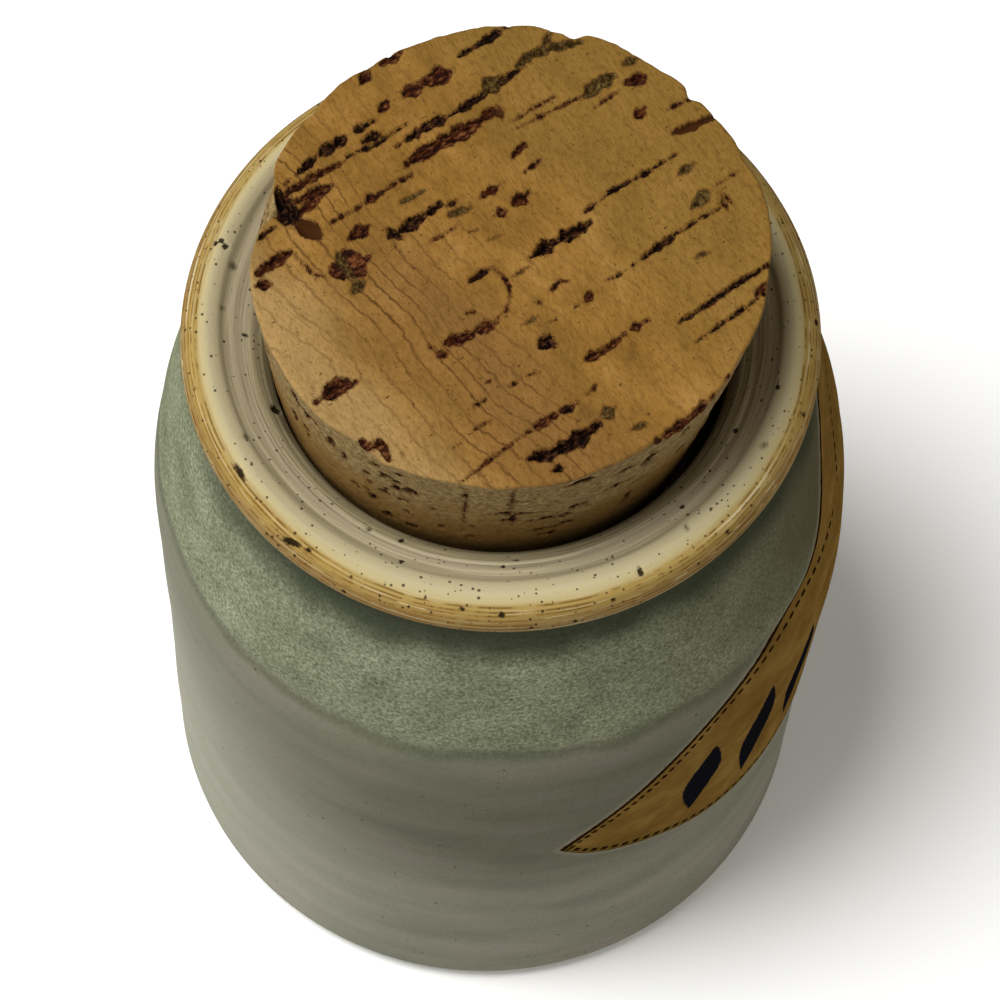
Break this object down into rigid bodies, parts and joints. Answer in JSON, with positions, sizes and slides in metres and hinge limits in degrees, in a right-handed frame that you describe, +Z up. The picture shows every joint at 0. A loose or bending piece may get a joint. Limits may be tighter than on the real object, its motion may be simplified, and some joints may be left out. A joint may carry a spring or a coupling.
{
  "type": "stoneware storage jar",
  "caption": "Wheel-thrown stoneware storage jar with a flat foot, a soft shoulder and a rounded collar, shut with a tapered natural cork stopper.",
  "frame": {"origin": "middle of the flat foot, on the surface that the jar stands on", "axes": "+Z up along the jar, -Y towards the side shown, +X to that viewer's right, where the banner lies"},
  "size_m": [0.1142, 0.1124, 0.1789],
  "materials": {
    "stoneware": "glazed stoneware: mottled grey-green matt shoulder, smoother grey body, speckled cream collar, bare clay foot",
    "cork": "raw natural cork, sanded, with dark pores, fissures and growth lines"
  },
  "bodies": {
    "root": {"jar": "stoneware", "stopper": "cork"}
  },
  "joints": []
}
